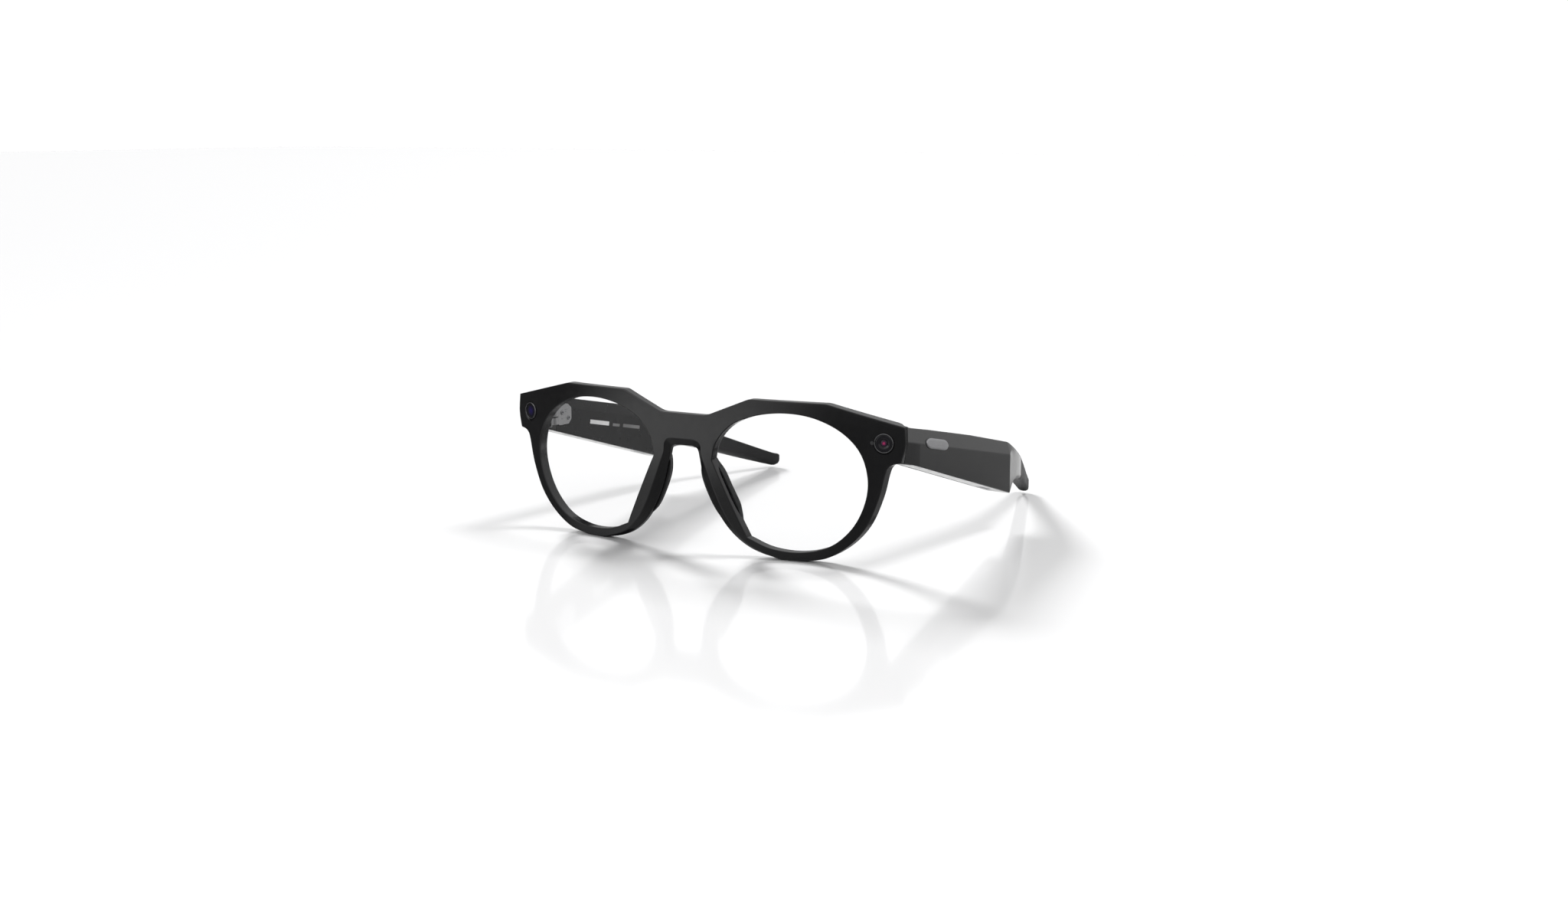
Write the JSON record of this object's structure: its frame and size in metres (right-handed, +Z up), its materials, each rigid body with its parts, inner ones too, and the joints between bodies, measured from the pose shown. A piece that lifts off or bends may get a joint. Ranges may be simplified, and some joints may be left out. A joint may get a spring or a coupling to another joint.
{
  "type": "smart glasses",
  "caption": "Folding smart glasses with a curved front, clear lenses, a camera and a light in the end pieces, and thick temples that hold the electronics.",
  "frame": {"origin": "middle of the underside of the bounding box, on the surface the glasses stand on", "axes": "+Z up, the front faces -Y, the wearer's left is +X; the temples run back along +Y when open"},
  "size_m": [0.15, 0.1518, 0.0507],
  "materials": {
    "frame_plastic": "polished black, like acetate",
    "lens": "clear, both sides polished",
    "soft_rubber": "soft matte black",
    "ring_metal": "finely brushed, bright",
    "dark_glass": "dark coated glass",
    "part_metal": "plain machined metal",
    "hinge_metal": "blasted grey metal",
    "board": "green solder mask",
    "contact_metal": "gold plated",
    "film": "amber flexible film",
    "cell_wrap": "blue foil wrap",
    "inner_plastic": "dark moulded plastic",
    "print": "pale printed ink"
  },
  "bodies": {
    "front": {"front_frame": "frame_plastic", "brow_cover": "frame_plastic", "brow_flex": "film", "lens_left": "lens", "lens_right": "lens", "nose_pad_left": "soft_rubber", "nose_pad_right": "soft_rubber", "camera_ring": "ring_metal", "camera_window": "dark_glass", "camera_barrel": "part_metal", "camera_board": "board", "light_ring": "ring_metal", "light_window": "dark_glass", "light_board": "board", "front_microphone": "part_metal", "microphone_mesh": "part_metal", "charge_contacts": "contact_metal", "hinge_bracket_left": "hinge_metal", "hinge_bracket_right": "hinge_metal", "bracket_screws": "part_metal", "hinge_pin_left": "part_metal", "hinge_pin_right": "part_metal"},
    "temple_left": {"temple_shell_left": "frame_plastic", "temple_cover_left": "frame_plastic", "hinge_leaf_left": "hinge_metal", "leaf_screws_left": "part_metal", "battery_left": "cell_wrap", "battery_board": "board", "switch_housing": "inner_plastic", "speaker_left": "inner_plastic", "speaker_grille_left": "part_metal", "temple_core_left": "part_metal", "ear_tip_left": "soft_rubber", "emblem_plate_left": "ring_metal"},
    "temple_right": {"temple_shell_right": "frame_plastic", "temple_cover_right": "frame_plastic", "hinge_leaf_right": "hinge_metal", "leaf_screws_right": "part_metal", "battery_right": "cell_wrap", "main_board": "board", "processor_shield": "part_metal", "touch_film": "film", "button_switch": "inner_plastic", "speaker_right": "inner_plastic", "speaker_grille_right": "part_metal", "temple_core_right": "part_metal", "ear_tip_right": "soft_rubber", "emblem_plate_right": "ring_metal", "marking_bars": "print"},
    "capture_button": {"capture_button": "frame_plastic"},
    "power_switch": {"power_switch": "inner_plastic"}
  },
  "joints": [
    {"name": "temple_left_fold", "type": "hinge", "parent": "front", "child": "temple_left", "pos_m": [0.065, -0.05866, 0.0378], "axis": [0, 0, 1], "range_deg": [0, 86]},
    {"name": "temple_right_fold", "type": "hinge", "parent": "front", "child": "temple_right", "pos_m": [-0.065, -0.05866, 0.0378], "axis": [0, 0, -1], "range_deg": [0, 75]},
    {"name": "capture_button_press", "type": "slide", "parent": "temple_right", "child": "capture_button", "axis": [0, -0.1789, -0.9839], "range_m": [0, 0.0004], "stiffness_N_per_m": 1500, "springref_m": -0.0004},
    {"name": "power_switch_slide", "type": "slide", "parent": "temple_left", "child": "power_switch", "axis": [0.0103, 0.9809, -0.1942], "range_m": [0, 0.0016]}
  ]
}
